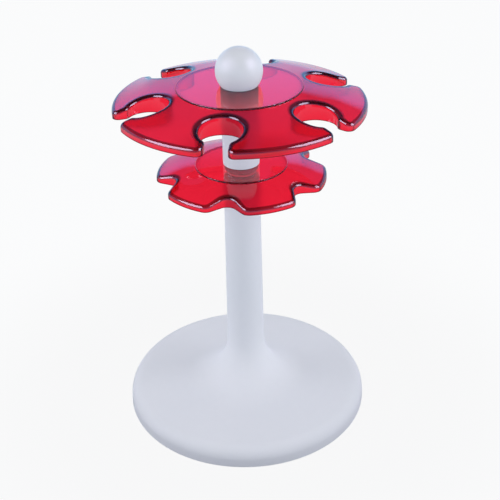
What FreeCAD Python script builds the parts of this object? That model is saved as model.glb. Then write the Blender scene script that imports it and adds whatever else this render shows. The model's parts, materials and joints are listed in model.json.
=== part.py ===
"""Carousel stand for six pipettes.

A weighted round base and its drafted column are one moulding. A thrust ball bearing on top of the
column carries the carousel: two clear notched plates, the tube that spaces them and a ball knob.
Millimetres, +Z up. The origin is the centre of the resting plane, under the feet.
"""
import FreeCAD, Part
import math
import os

# ---------------------------------------------------------------- base and column
BASE_RADIUS = 114.6          # at the bottom edge of the base cover
BASE_SIDE_DRAFT = 4.0        # degrees, side wall of the base
BASE_HEIGHT = 18.3           # theoretical height of the shoulder corner
BASE_TOP_SLOPE = 2.9         # degrees, rise of the base top towards the column
SHOULDER_RADIUS = 12.0
FOOT_FILLET_RADIUS = 44.0    # concave sweep from the base top into the column
COLUMN_TOP_RADIUS = 15.9
COLUMN_TOP_HEIGHT = 233.0
COLUMN_DRAFT = 0.57          # degrees
COLUMN_EDGE_RADIUS = 0.6
COVER_WALL = 3.0
COVER_EDGE_LIFT = 0.8        # bottom edge of the cover above the resting plane
RIB_COUNT = 8
RIB_THICKNESS = 2.2
RIB_HUB_GAP = 4.0            # ribs end outside the ballast's hub

# ---------------------------------------------------------------- bottom plate, feet and ballast
PLATE_LIFT = 1.4             # underside of the bottom plate above the resting plane
BOTTOM_PLATE_THICKNESS = 3.0
BOTTOM_PLATE_GAP = 0.3       # all round, inside the cover
FOOT_COUNT = 4
FOOT_RADIUS = 8.0
FOOT_EDGE_RADIUS = 0.8
FOOT_RECESS_DEPTH = 1.4
FOOT_RECESS_GAP = 0.2
BOTTOM_PLATE_CHAMFER = 0.4
FIXING_SETBACK = 17.6        # circle of feet and screws, inside the base's edge
SCREW_COUNT = 4
SCREW_RADIUS = 1.4
SCREW_HEAD_RADIUS = 3.4
SCREW_HEAD_HEIGHT = 1.8
SCREW_HEAD_ROUNDING = 0.6
SCREW_HOLE_GAP = 0.2         # radial, in the bottom plate
SCREW_THREAD_GAP = 0.05
SCREW_LENGTH = 9.0           # under the head
SCREW_SLOT_WIDTH = 0.9
SCREW_SLOT_DEPTH = 0.8
BOSS_RADIUS = 4.8
BALLAST_GAP = 8.2            # to the screw bosses
BALLAST_THICKNESS = 8.0
BALLAST_EDGE = 0.8
BALLAST_HUB_WALL = 5.5
BALLAST_HUB_EDGE = 1.2
NUT_POCKET_GAP = 1.5         # radial, round the washer
NUT_POCKET_ROOF = 6.0

# ---------------------------------------------------------------- spindle and its fastening
SPINDLE_RADIUS = 4.0
SPINDLE_HOLE_GAP = 0.1       # radial, where the spindle passes a fixed piece
SPINDLE_CHAMFER = 0.8
SPINDLE_END_GAP = 0.5        # spindle above the bottom plate
SPINDLE_TAIL = 1.4           # spindle below the nut
SPINDLE_COLLAR_STEP = 2.0    # collar outside the spindle
SPINDLE_COLLAR_HEIGHT = 3.4
SPINDLE_COLLAR_EDGE = 0.3
SPINDLE_HEAD = 3.0           # spindle above the retaining ring
NUT_ACROSS_FLATS = 13.0
NUT_HEIGHT = 6.5
NUT_THREAD_GAP = 0.05
WASHER_RADIUS = 8.0
WASHER_THICKNESS = 1.6
WASHER_EDGE = 0.2
LOCK_WASHER_RADIUS = 6.6
LOCK_WASHER_THICKNESS = 2.0
LOCK_WASHER_SPLIT = 1.2

# ---------------------------------------------------------------- bearing on top of the column
PLUG_FLANGE_SETBACK = 0.5    # flange inside the column's top edge
PLUG_FLANGE_THICKNESS = 2.0
PLUG_FLANGE_EDGE = 0.5
PLUG_WALL = 3.5              # plug inside the column's top edge
PLUG_LENGTH = 20.0
PLUG_NOSE_RADIUS = 1.0
PLUG_SEAT_GAP = 0.05
RACE_SHOULDER = 3.5          # race outside the ball circle
RACE_THICKNESS = 3.0
RACE_EDGE = 0.4
RACE_SEAT_GAP = 0.1
BALL_CIRCLE_RADIUS = 9.5
BEARING_BALL_RADIUS = 2.25
BALL_COUNT = 10
BALL_GAP = 0.06
RACE_SPACING = 3.0           # between the faces of the two races
CAGE_THICKNESS = 1.6
CAGE_RIM = 0.7               # cage outside the ball pockets

# ---------------------------------------------------------------- turning hub
BUSH_RUNNING_GAP = 0.04      # radial, on the spindle
BUSH_WALL = 2.96
BUSH_LENGTH = 12.0
BUSH_EDGE = 0.4
BUSH_SET_BACK = 0.6          # lower bush inside the sleeve's mouth
SLEEVE_WALL = 2.0
SLEEVE_WAIST_STEP = 0.8      # bore between the two bushes
SLEEVE_LIP_GAP = 0.05        # radial, round the upper race
SLEEVE_LIP_WALL = 1.55
SLEEVE_LIP_HEIGHT = 1.8
SLEEVE_FLANGE_THICKNESS = 2.0
SLEEVE_FLANGE_EDGE = 0.3
SLEEVE_END_EDGE = 0.5
SLEEVE_SEAT_GAP = 0.1        # radial, to the plates and the tube
SLEEVE_THREAD_LENGTH = 12.4  # above the upper plate, in the knob's insert
RETAINER_GAP = 0.3           # washer above the upper bush
RETAINER_SIDE_GAP = 0.5      # radial, in the sleeve's bore
RETAINER_THICKNESS = 1.0
RETAINING_RING_SIDE_GAP = 0.7
RETAINING_RING_THICKNESS = 1.0
RETAINING_RING_GROOVE = 0.4
RETAINING_RING_SEAT_GAP = 0.05
RETAINING_RING_MOUTH = 3.4

# ---------------------------------------------------------------- plates, spacer and knob
DISC_THICKNESS = 3.0         # raised flat disc in the middle of a plate
DISC_STEP = 1.2              # disc above the sloping ring
DISC_EDGE_RADIUS = 0.4
RING_SLOPE = 8.0             # degrees, ring falling outwards beside the disc
RIM_SLOPE = 16.0             # degrees, ring falling outwards beside the rim
RING_CROWN_RADIUS = 120.0    # rounding between the two slopes
SHELL_WALL = 2.6             # ring and skirt
PLATE_INNER_STEP = 1.5       # underside corner inside the disc's edge
PLATE_INNER_ROUNDING = 1.0   # between the ring's underside and the skirt
NOTCH_COUNT = 6
UPPER_DISC_HEIGHT = 319.6    # top of the upper disc above the resting plane
UPPER_RIM_RADIUS = 107.2
UPPER_SKIRT = 18.9           # skirt edge below the disc
UPPER_EDGE_RADIUS = 3.2
POCKET_SETBACK = 27.9        # centre of a pocket, inside the rim
POCKET_RADIUS = 17.4
POCKET_TO_DISC = 8.3         # sloping ring left behind a pocket
THROAT_WIDTH = 19.2
THROAT_TIP_RADIUS = 5.6      # in plan, at the rim
THROAT_ROOT_RADIUS = 5.4     # in plan, at the pocket
LOWER_RIM_RADIUS = 74.4
LOWER_SKIRT = 13.6
LOWER_EDGE_RADIUS = 3.0
NOTCH_SETBACK = 17.6         # meeting point of the notch's two flanks, inside the rim
NOTCH_TO_DISC = 16.4         # from that point to the disc's edge
NOTCH_HALF_ANGLE = 45.0
NOTCH_ROOT_RADIUS = 8.2
NOTCH_TIP_RADIUS = 8.0
SPACER_RADIUS = 15.9
SPACER_WALL = 2.7
SPACER_EDGE = 0.3
SPACER_RIB_COUNT = 3
SPACER_RIB_THICKNESS = 2.0
LUG_RADIUS = 1.1             # locating lugs on both ends of the spacer
LUG_HEIGHT = 1.2
LUG_GAP = 0.1
LUG_FIRST_ANGLE = 30.0       # degrees
KNOB_RADIUS = 20.0
KNOB_SEAT_DEPTH = 12.7       # centre of the ball above the upper disc
INSERT_WALL = 2.55
INSERT_CAP = 2.0
INSERT_GROOVE_DEPTH = 0.5
INSERT_GROOVE_COUNT = 3
INSERT_THREAD_GAP = 0.05

# ---------------------------------------------------------------- radii that follow
fixing_circle_radius = BASE_RADIUS - FIXING_SETBACK
ballast_radius = fixing_circle_radius - BOSS_RADIUS - BALLAST_GAP
spindle_hole_radius = SPINDLE_RADIUS + SPINDLE_HOLE_GAP
collar_radius = SPINDLE_RADIUS + SPINDLE_COLLAR_STEP
nut_pocket_radius = WASHER_RADIUS + NUT_POCKET_GAP
ballast_hub_radius = nut_pocket_radius + BALLAST_HUB_WALL
rib_inner_radius = ballast_hub_radius + RIB_HUB_GAP
plug_flange_radius = COLUMN_TOP_RADIUS - PLUG_FLANGE_SETBACK
plug_radius = COLUMN_TOP_RADIUS - PLUG_WALL
race_inner_radius = collar_radius + RACE_SEAT_GAP
race_outer_radius = BALL_CIRCLE_RADIUS + RACE_SHOULDER
ball_pocket_radius = BEARING_BALL_RADIUS + BALL_GAP
bush_inner_radius = SPINDLE_RADIUS + BUSH_RUNNING_GAP
sleeve_bore_radius = bush_inner_radius + BUSH_WALL
sleeve_waist_radius = sleeve_bore_radius - SLEEVE_WAIST_STEP
sleeve_radius = sleeve_bore_radius + SLEEVE_WALL
sleeve_seat_radius = sleeve_radius + SLEEVE_SEAT_GAP
lip_inner_radius = race_outer_radius + SLEEVE_LIP_GAP
sleeve_flange_radius = lip_inner_radius + SLEEVE_LIP_WALL
retainer_radius = sleeve_bore_radius - RETAINER_SIDE_GAP
retaining_ring_radius = sleeve_bore_radius - RETAINING_RING_SIDE_GAP
pocket_centre_radius = UPPER_RIM_RADIUS - POCKET_SETBACK
upper_disc_radius = pocket_centre_radius - POCKET_RADIUS - POCKET_TO_DISC
notch_apex_radius = LOWER_RIM_RADIUS - NOTCH_SETBACK
lower_disc_radius = notch_apex_radius - NOTCH_TO_DISC
lug_circle_radius = SPACER_RADIUS - SPACER_WALL / 2
insert_bore_radius = sleeve_radius + INSERT_THREAD_GAP
insert_radius = insert_bore_radius + INSERT_WALL

# ---------------------------------------------------------------- heights that follow
plate_seat = PLATE_LIFT + BOTTOM_PLATE_THICKNESS
ballast_top = plate_seat + BALLAST_THICKNESS
spindle_bottom = plate_seat + SPINDLE_END_GAP
nut_bottom = spindle_bottom + SPINDLE_TAIL
lock_washer_bottom = nut_bottom + NUT_HEIGHT
washer_bottom = lock_washer_bottom + LOCK_WASHER_THICKNESS
nut_pocket_top = washer_bottom + WASHER_THICKNESS
ballast_hub_top = nut_pocket_top + NUT_POCKET_ROOF
lower_race_bottom = COLUMN_TOP_HEIGHT + PLUG_FLANGE_THICKNESS
lower_race_top = lower_race_bottom + RACE_THICKNESS
upper_race_bottom = lower_race_top + RACE_SPACING
ball_centre_height = lower_race_top + RACE_SPACING / 2
sleeve_flange_bottom = upper_race_bottom + RACE_THICKNESS
lip_bottom = sleeve_flange_bottom - SLEEVE_LIP_HEIGHT
lower_disc_bottom = sleeve_flange_bottom + SLEEVE_FLANGE_THICKNESS
lower_disc_top = lower_disc_bottom + DISC_THICKNESS
upper_disc_bottom = UPPER_DISC_HEIGHT - DISC_THICKNESS
sleeve_top = UPPER_DISC_HEIGHT + SLEEVE_THREAD_LENGTH
insert_roof = sleeve_top + INSERT_THREAD_GAP
insert_top = insert_roof + INSERT_CAP
lower_bush_bottom = sleeve_flange_bottom + BUSH_SET_BACK
lower_bush_top = lower_bush_bottom + BUSH_LENGTH
upper_bush_top = upper_disc_bottom - BUSH_LENGTH
upper_bush_bottom = upper_bush_top - BUSH_LENGTH
retainer_bottom = upper_bush_top + RETAINER_GAP
retaining_ring_bottom = retainer_bottom + RETAINER_THICKNESS
retaining_ring_top = retaining_ring_bottom + RETAINING_RING_THICKNESS
spindle_top = retaining_ring_top + SPINDLE_HEAD

UP = FreeCAD.Vector(0, 0, 1)
CENTRE = FreeCAD.Vector(0, 0, 0)


# ---------------------------------------------------------------- outlines and turned solids
def unit(vector):
    """The vector at length one."""
    return FreeCAD.Vector(vector) / vector.Length


def rounded_wire(corners):
    """Closed wire through (radius, height, rounding) corners in the XZ plane."""
    places = [FreeCAD.Vector(x, 0, z) for x, z, rounding in corners]
    ends = []
    for index, (x, z, rounding) in enumerate(corners):
        corner = places[index]
        if rounding <= 0:
            ends.append((corner, None, corner))
            continue
        before = unit(places[index - 1] - corner)
        after = unit(places[(index + 1) % len(places)] - corner)
        half = math.acos(max(-1.0, min(1.0, before.dot(after)))) / 2
        reach = rounding / math.tan(half)
        centre = corner + unit(before + after) * (rounding / math.sin(half))
        middle = centre + unit(corner - centre) * rounding
        ends.append((corner + before * reach, middle, corner + after * reach))
    edges = []
    for index, (start, middle, stop) in enumerate(ends):
        if middle is not None:
            edges.append(Part.Arc(start, middle, stop).toShape())
        following = ends[(index + 1) % len(ends)][0]
        if (following - stop).Length > 1e-6:
            edges.append(Part.LineSegment(stop, following).toShape())
    return Part.Wire(edges)


def turned(corners):
    """Solid of revolution about the stand's axis of an outline of rounded corners."""
    return Part.Face(rounded_wire(corners)).revolve(CENTRE, UP, 360)


def turned_ring(inner, outer, bottom, height, chamfer=0.0):
    """Flat ring with chamfered outer edges."""
    top = bottom + height
    return turned([(inner, bottom, 0), (outer - chamfer, bottom, 0), (outer, bottom + chamfer, 0),
                   (outer, top - chamfer, 0), (outer - chamfer, top, 0), (inner, top, 0)])


def rod(radius, x, y, bottom, height):
    """Upright cylinder."""
    return Part.makeCylinder(radius, height, FreeCAD.Vector(x, y, bottom), UP)


def around(count, radius, first_angle=0.0):
    """Places (x, y, angle in degrees) spread evenly on a circle."""
    places = []
    for index in range(count):
        angle = first_angle + 360.0 * index / count
        places.append((radius * math.cos(math.radians(angle)), radius * math.sin(math.radians(angle)), angle))
    return places


def spun(shape, angle):
    """Copy of a shape turned about the stand's axis."""
    copy = shape.copy()
    copy.rotate(CENTRE, UP, angle)
    return copy


def box_around_axis(near, far, half_width, bottom, top):
    """Block that runs out along +X from one radius to another."""
    corner = FreeCAD.Vector(near, -half_width, bottom)
    return Part.makeBox(far - near, 2 * half_width, top - bottom, corner)


# ---------------------------------------------------------------- base and column
def column_radius(height):
    """Outer radius of the drafted column."""
    return COLUMN_TOP_RADIUS + (COLUMN_TOP_HEIGHT - height) * math.tan(math.radians(COLUMN_DRAFT))


def pedestal_skin(inset, bottom, top):
    """Solid inside the cover's outer skin, moved inwards and down by an inset."""
    side = math.tan(math.radians(BASE_SIDE_DRAFT))
    shoulder = BASE_RADIUS - (BASE_HEIGHT - COVER_EDGE_LIFT) * side - inset
    rise = (shoulder - COLUMN_TOP_RADIUS) * math.tan(math.radians(BASE_TOP_SLOPE))
    foot_height = BASE_HEIGHT + rise - inset
    foot = column_radius(foot_height) - inset
    edge = COLUMN_EDGE_RADIUS if inset == 0 else 0
    return turned([(0, bottom, 0), (shoulder + (BASE_HEIGHT - bottom) * side, bottom, 0),
                   (shoulder, BASE_HEIGHT - inset, SHOULDER_RADIUS - inset),
                   (foot, foot_height, FOOT_FILLET_RADIUS + inset),
                   (column_radius(top) - inset, top, edge), (0, top, 0)])


def screw_places():
    return around(SCREW_COUNT, fixing_circle_radius, 0.0)


def foot_places():
    return around(FOOT_COUNT, fixing_circle_radius, 180.0 / FOOT_COUNT)


def make_pedestal():
    """Hollow base cover and column, with ribs, screw bosses and a thicker mouth for the plug."""
    shell = pedestal_skin(0, COVER_EDGE_LIFT, COLUMN_TOP_HEIGHT)
    shell = shell.cut(pedestal_skin(COVER_WALL, COVER_EDGE_LIFT - 1, COLUMN_TOP_HEIGHT + 1))
    inside = pedestal_skin(COVER_WALL / 2, COVER_EDGE_LIFT, COLUMN_TOP_HEIGHT)
    mouth_bottom = COLUMN_TOP_HEIGHT - PLUG_LENGTH
    added = [rod(column_radius(mouth_bottom), 0, 0, mouth_bottom, PLUG_LENGTH).common(inside)]
    rib_top = ballast_top + FOOT_FILLET_RADIUS
    for x, y, angle in around(RIB_COUNT, 1, 180.0 / RIB_COUNT):
        rib = box_around_axis(rib_inner_radius, BASE_RADIUS, RIB_THICKNESS / 2, ballast_top, rib_top)
        added.append(spun(rib, angle).common(inside))
    for x, y, angle in screw_places():
        added.append(rod(BOSS_RADIUS, x, y, plate_seat, BASE_HEIGHT).common(inside))
    shell = shell.fuse(added)
    holes = [rod(plug_radius + PLUG_SEAT_GAP, 0, 0, mouth_bottom - 1, PLUG_LENGTH + 2)]
    for x, y, angle in screw_places():
        depth = SCREW_LENGTH - SCREW_RADIUS
        holes.append(rod(SCREW_RADIUS + SCREW_THREAD_GAP, x, y, plate_seat - 1, depth))
    return shell.cut(holes).removeSplitter()


def make_bottom_plate():
    """Closing plate with recesses for the feet and counterbored screw holes."""
    side = math.tan(math.radians(BASE_SIDE_DRAFT))
    draft = (plate_seat - COVER_EDGE_LIFT) * side
    radius = BASE_RADIUS - draft - COVER_WALL - BOTTOM_PLATE_GAP
    plate = turned_ring(0, radius, PLATE_LIFT, BOTTOM_PLATE_THICKNESS, BOTTOM_PLATE_CHAMFER)
    holes = []
    for x, y, angle in foot_places():
        holes.append(rod(FOOT_RADIUS + FOOT_RECESS_GAP, x, y, PLATE_LIFT - 1, FOOT_RECESS_DEPTH + 1))
    for x, y, angle in screw_places():
        head = SCREW_HEAD_RADIUS + SCREW_HOLE_GAP
        holes.append(rod(SCREW_RADIUS + SCREW_HOLE_GAP, x, y, 0, 2 * plate_seat))
        holes.append(rod(head, x, y, PLATE_LIFT - 1, SCREW_HEAD_HEIGHT + 1))
    return plate.cut(holes)


def make_rubber_foot(x, y):
    """Round foot with a softened lower edge, seated in its recess."""
    height = PLATE_LIFT + FOOT_RECESS_DEPTH
    foot = turned([(0, 0, 0), (FOOT_RADIUS, 0, FOOT_EDGE_RADIUS), (FOOT_RADIUS, height, 0), (0, height, 0)])
    foot.translate(FreeCAD.Vector(x, y, 0))
    return foot


def make_bottom_screws():
    """Slotted self-tapping screws, one solid each."""
    head_top = PLATE_LIFT + SCREW_HEAD_HEIGHT
    tip = head_top + SCREW_LENGTH - 2 * SCREW_RADIUS
    slot_length = 3 * SCREW_HEAD_RADIUS
    slot_corner = FreeCAD.Vector(-slot_length / 2, -SCREW_SLOT_WIDTH / 2, PLATE_LIFT)
    screws = []
    for x, y, angle in screw_places():
        screw = turned([(0, PLATE_LIFT, 0), (SCREW_HEAD_RADIUS, PLATE_LIFT, SCREW_HEAD_ROUNDING),
                        (SCREW_HEAD_RADIUS, head_top, 0), (SCREW_RADIUS, head_top, 0),
                        (SCREW_RADIUS, tip - SCREW_RADIUS, 0), (0, tip, 0)])
        screw = screw.cut(Part.makeBox(slot_length, SCREW_SLOT_WIDTH, SCREW_SLOT_DEPTH, slot_corner))
        screw.translate(FreeCAD.Vector(x, y, 0))
        screws.append(screw)
    return Part.makeCompound(screws)


def make_ballast_disc():
    """Cast weight with a hub and, below it, a pocket for the spindle's nut."""
    return turned([(nut_pocket_radius, plate_seat, 0), (ballast_radius, plate_seat, BALLAST_EDGE),
                   (ballast_radius, ballast_top, BALLAST_EDGE),
                   (ballast_hub_radius, ballast_top, BALLAST_HUB_EDGE),
                   (ballast_hub_radius, ballast_hub_top, BALLAST_EDGE),
                   (spindle_hole_radius, ballast_hub_top, 0), (spindle_hole_radius, nut_pocket_top, 0),
                   (nut_pocket_radius, nut_pocket_top, 0)])


# ---------------------------------------------------------------- spindle and its fastening
def make_spindle():
    """Tie rod with a collar that rests on the column plug and a groove for the retaining ring."""
    collar_top = lower_race_bottom + SPINDLE_COLLAR_HEIGHT
    neck = SPINDLE_RADIUS - RETAINING_RING_GROOVE
    end = SPINDLE_RADIUS - SPINDLE_CHAMFER
    return turned([(0, spindle_bottom, 0), (end, spindle_bottom, 0),
                   (SPINDLE_RADIUS, spindle_bottom + SPINDLE_CHAMFER, 0),
                   (SPINDLE_RADIUS, lower_race_bottom, 0), (collar_radius, lower_race_bottom, 0),
                   (collar_radius, collar_top, SPINDLE_COLLAR_EDGE), (SPINDLE_RADIUS, collar_top, 0),
                   (SPINDLE_RADIUS, retaining_ring_bottom, 0), (neck, retaining_ring_bottom, 0),
                   (neck, retaining_ring_top, 0), (SPINDLE_RADIUS, retaining_ring_top, 0),
                   (SPINDLE_RADIUS, spindle_top - SPINDLE_CHAMFER, 0), (end, spindle_top, 0),
                   (0, spindle_top, 0)])


def make_spindle_nut():
    """Hexagon nut with both faces chamfered at the corners."""
    across_corners = NUT_ACROSS_FLATS / math.cos(math.radians(30)) / 2
    corners = [FreeCAD.Vector(x, y, nut_bottom) for x, y, angle in around(6, across_corners)]
    hexagon = Part.Face(Part.makePolygon(corners + corners[:1])).extrude(UP * NUT_HEIGHT)
    chamfer = across_corners - NUT_ACROSS_FLATS / 2
    nut = hexagon.common(turned_ring(0, across_corners, nut_bottom, NUT_HEIGHT, chamfer))
    return nut.cut(rod(SPINDLE_RADIUS + NUT_THREAD_GAP, 0, 0, nut_bottom - 1, NUT_HEIGHT + 2))


def make_spindle_washer():
    return turned_ring(spindle_hole_radius, WASHER_RADIUS, washer_bottom, WASHER_THICKNESS, WASHER_EDGE)


def make_lock_washer():
    """Split spring washer."""
    ring = turned_ring(spindle_hole_radius, LOCK_WASHER_RADIUS, lock_washer_bottom,
                       LOCK_WASHER_THICKNESS, WASHER_EDGE)
    split = box_around_axis(0, 2 * LOCK_WASHER_RADIUS, LOCK_WASHER_SPLIT / 2, lock_washer_bottom - 1,
                            washer_bottom + 1)
    return ring.cut(split)


# ---------------------------------------------------------------- bearing
def make_column_plug():
    """Flanged seat for the bearing, pressed in the mouth of the column."""
    bottom = COLUMN_TOP_HEIGHT - PLUG_LENGTH
    return turned([(spindle_hole_radius, bottom, 0), (plug_radius, bottom, PLUG_NOSE_RADIUS),
                   (plug_radius, COLUMN_TOP_HEIGHT, 0), (plug_flange_radius, COLUMN_TOP_HEIGHT, 0),
                   (plug_flange_radius, lower_race_bottom, PLUG_FLANGE_EDGE),
                   (spindle_hole_radius, lower_race_bottom, 0)])


def make_race(bottom):
    """Bearing washer with a ball groove on the side that faces the balls."""
    ring = turned_ring(race_inner_radius, race_outer_radius, bottom, RACE_THICKNESS, RACE_EDGE)
    centre = FreeCAD.Vector(0, 0, ball_centre_height)
    return ring.cut(Part.makeTorus(BALL_CIRCLE_RADIUS, ball_pocket_radius, centre, UP))


def make_bearing_cage():
    """Flat cage with one round pocket for each ball."""
    reach = ball_pocket_radius + CAGE_RIM
    bottom = ball_centre_height - CAGE_THICKNESS / 2
    holes = [rod(ball_pocket_radius, x, y, bottom - 1, CAGE_THICKNESS + 2)
             for x, y, angle in around(BALL_COUNT, BALL_CIRCLE_RADIUS)]
    ring = turned_ring(BALL_CIRCLE_RADIUS - reach, BALL_CIRCLE_RADIUS + reach, bottom, CAGE_THICKNESS)
    return ring.cut(holes)


def make_bearing_balls():
    """One solid for each ball."""
    balls = [Part.makeSphere(BEARING_BALL_RADIUS, FreeCAD.Vector(x, y, ball_centre_height))
             for x, y, angle in around(BALL_COUNT, BALL_CIRCLE_RADIUS)]
    return Part.makeCompound(balls)


# ---------------------------------------------------------------- turning hub
def make_hub_sleeve():
    """Flanged tube that carries both plates, with a waist between the two bushes."""
    return turned([(sleeve_bore_radius, sleeve_flange_bottom, 0), (lip_inner_radius, sleeve_flange_bottom, 0),
                   (lip_inner_radius, lip_bottom, 0),
                   (sleeve_flange_radius, lip_bottom, SLEEVE_FLANGE_EDGE),
                   (sleeve_flange_radius, lower_disc_bottom, SLEEVE_FLANGE_EDGE),
                   (sleeve_radius, lower_disc_bottom, 0), (sleeve_radius, sleeve_top, SLEEVE_END_EDGE),
                   (sleeve_bore_radius, sleeve_top, 0), (sleeve_bore_radius, upper_bush_bottom, 0),
                   (sleeve_waist_radius, upper_bush_bottom, 0), (sleeve_waist_radius, lower_bush_top, 0),
                   (sleeve_bore_radius, lower_bush_top, 0)])


def make_bush(bottom):
    """Plain bearing pressed in the sleeve and running on the spindle."""
    return turned_ring(bush_inner_radius, sleeve_bore_radius, bottom, BUSH_LENGTH, BUSH_EDGE)


def make_retaining_washer():
    return turned_ring(spindle_hole_radius, retainer_radius, retainer_bottom, RETAINER_THICKNESS,
                       WASHER_EDGE)


def make_retaining_ring():
    """Open ring snapped in the spindle's groove."""
    inner = SPINDLE_RADIUS - RETAINING_RING_GROOVE + RETAINING_RING_SEAT_GAP
    ring = turned_ring(inner, retaining_ring_radius, retaining_ring_bottom, RETAINING_RING_THICKNESS)
    mouth = box_around_axis(0, 2 * retaining_ring_radius, RETAINING_RING_MOUTH / 2,
                            retaining_ring_bottom - 1, retaining_ring_top + 1)
    return ring.cut(mouth)


# ---------------------------------------------------------------- plates
def keyhole_outline(inset):
    """Pocket and throat of one keyhole notch along +X, as flat faces."""
    half = THROAT_WIDTH / 2 + inset
    centre = FreeCAD.Vector(pocket_centre_radius, 0, 0)
    pocket = Part.Face(Part.Wire(Part.Circle(centre, UP, POCKET_RADIUS + inset).toShape()))
    mouth = 2 * UPPER_RIM_RADIUS
    corners = [(centre.x, -half), (mouth, -half), (mouth, half), (centre.x, half), (centre.x, -half)]
    throat = Part.Face(Part.makePolygon([FreeCAD.Vector(x, y, 0) for x, y in corners]))
    return [pocket, throat]


def vee_outline(inset):
    """Wide notch with straight flanks along +X, as a flat face."""
    slope = math.tan(math.radians(NOTCH_HALF_ANGLE))
    apex = notch_apex_radius - inset / math.sin(math.radians(NOTCH_HALF_ANGLE))
    mouth = 2 * LOWER_RIM_RADIUS
    corners = [(apex, 0), (mouth, -(mouth - apex) * slope), (mouth, (mouth - apex) * slope), (apex, 0)]
    return [Part.Face(Part.makePolygon([FreeCAD.Vector(x, y, 0) for x, y in corners]))]


def round_uprights(solid, near, far, radius):
    """Round the upright edges that stand between two distances from the axis."""
    chosen = []
    for edge in solid.Edges:
        start = edge.Vertexes[0].Point
        stop = edge.Vertexes[-1].Point
        distance = math.hypot(start.x, start.y)
        upright = math.hypot(stop.x - start.x, stop.y - start.y) < 1e-6 and abs(stop.z - start.z) > 1
        if upright and near < distance < far:
            chosen.append(edge)
    return solid.makeFillet(radius, chosen)


def notched_prism(rim_radius, outlines, roundings, bottom, height):
    """Upright prism of a round plate's notched outline; roundings are (near, far, radius)."""
    disc = Part.Face(Part.Wire(Part.Circle(CENTRE, UP, rim_radius).toShape()))
    cutters = []
    for x, y, angle in around(NOTCH_COUNT, 1, -90.0):
        cutters.extend(spun(outline, angle) for outline in outlines)
    face = disc.cut(cutters)
    face.translate(FreeCAD.Vector(0, 0, bottom))
    prism = face.extrude(UP * height).removeSplitter()
    for near, far, radius in roundings:
        prism = round_uprights(prism, near, far, radius)
    return prism


def upper_prism(inset, bottom, height):
    """Outline of the upper plate, drawn in by an inset."""
    rim = UPPER_RIM_RADIUS - inset
    tip = THROAT_TIP_RADIUS - inset
    root = THROAT_ROOT_RADIUS - inset
    border = rim - THROAT_TIP_RADIUS
    roundings = [(border, rim + 1, tip), (pocket_centre_radius, border, root)]
    return notched_prism(rim, keyhole_outline(inset), roundings, bottom, height)


def lower_prism(inset, bottom, height):
    """Outline of the lower plate, drawn in by an inset."""
    rim = LOWER_RIM_RADIUS - inset
    border = (notch_apex_radius + LOWER_RIM_RADIUS) / 2
    roundings = [(border, rim + 1, NOTCH_TIP_RADIUS - inset), (0, border, NOTCH_ROOT_RADIUS + inset)]
    return notched_prism(rim, vee_outline(inset), roundings, bottom, height)


def ring_line(disc_radius, rim_radius, near, far, height, crown_radius):
    """Corners of one face of the ring from far to near; the height is taken at the disc's edge."""
    crown = (disc_radius + rim_radius) / 2
    crown_height = height - (crown - disc_radius) * math.tan(math.radians(RING_SLOPE))
    far_height = crown_height - (far - crown) * math.tan(math.radians(RIM_SLOPE))
    near_height = crown_height + (crown - near) * math.tan(math.radians(RING_SLOPE))
    return [(far, far_height, 0), (crown, crown_height, crown_radius), (near, near_height, 0)]


def round_top_edges(solid, bottom, disc_radius, radius):
    """Round the upper edge all along the rim and the notches."""
    chosen = []
    for edge in solid.Edges:
        points = [vertex.Point for vertex in edge.Vertexes]
        start = points[0]
        stop = points[-1]
        low = min(start.z, stop.z) < bottom + 1
        upright = math.hypot(stop.x - start.x, stop.y - start.y) < 1e-6 and len(points) > 1
        on_disc = math.hypot(start.x, start.y) < disc_radius + 1
        if not (low or upright or on_disc):
            chosen.append(edge)
    return solid.makeFillet(radius, chosen)


def make_plate(prism, rim_radius, disc_radius, disc_top, skirt, edge_radius):
    """Umbrella-shaped shell: flat raised disc, sloping ring and a skirt along rim and notches."""
    bottom = disc_top - skirt
    step = disc_top - DISC_STEP
    upper_face = ring_line(disc_radius, rim_radius, disc_radius, rim_radius + 1, step, RING_CROWN_RADIUS)
    dome = turned([(0, bottom, 0), (rim_radius + 1, bottom, 0)] + upper_face
                  + [(disc_radius, disc_top, DISC_EDGE_RADIUS), (0, disc_top, 0)])
    solid = round_top_edges(prism(0, bottom, skirt + 1).common(dome), bottom, disc_radius, edge_radius)
    inner_disc = disc_radius - PLATE_INNER_STEP
    under = SHELL_WALL / math.cos(math.radians(RING_SLOPE))
    under_face = ring_line(disc_radius, rim_radius, inner_disc, rim_radius, step - under,
                           RING_CROWN_RADIUS - SHELL_WALL)
    disc_bottom = disc_top - DISC_THICKNESS
    hollow = turned([(0, bottom - 1, 0), (rim_radius, bottom - 1, 0)] + under_face
                    + [(inner_disc, disc_bottom, 0), (0, disc_bottom, 0)])
    core = prism(SHELL_WALL, bottom - 1, skirt + 2).common(hollow)
    solid = solid.cut(round_top_edges(core, bottom, disc_radius, PLATE_INNER_ROUNDING))
    return solid.cut(rod(sleeve_seat_radius, 0, 0, bottom - 1, skirt + 2))


def lug_places():
    return around(SPACER_RIB_COUNT, lug_circle_radius, LUG_FIRST_ANGLE)


def lug_pockets(bottom, height):
    """Blind holes in a plate for the spacer's lugs."""
    return [rod(LUG_RADIUS + LUG_GAP, x, y, bottom, height) for x, y, angle in lug_places()]


def make_upper_plate():
    plate = make_plate(upper_prism, UPPER_RIM_RADIUS, upper_disc_radius, UPPER_DISC_HEIGHT,
                       UPPER_SKIRT, UPPER_EDGE_RADIUS)
    return plate.cut(lug_pockets(upper_disc_bottom - 1, LUG_HEIGHT + LUG_GAP + 1))


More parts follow.
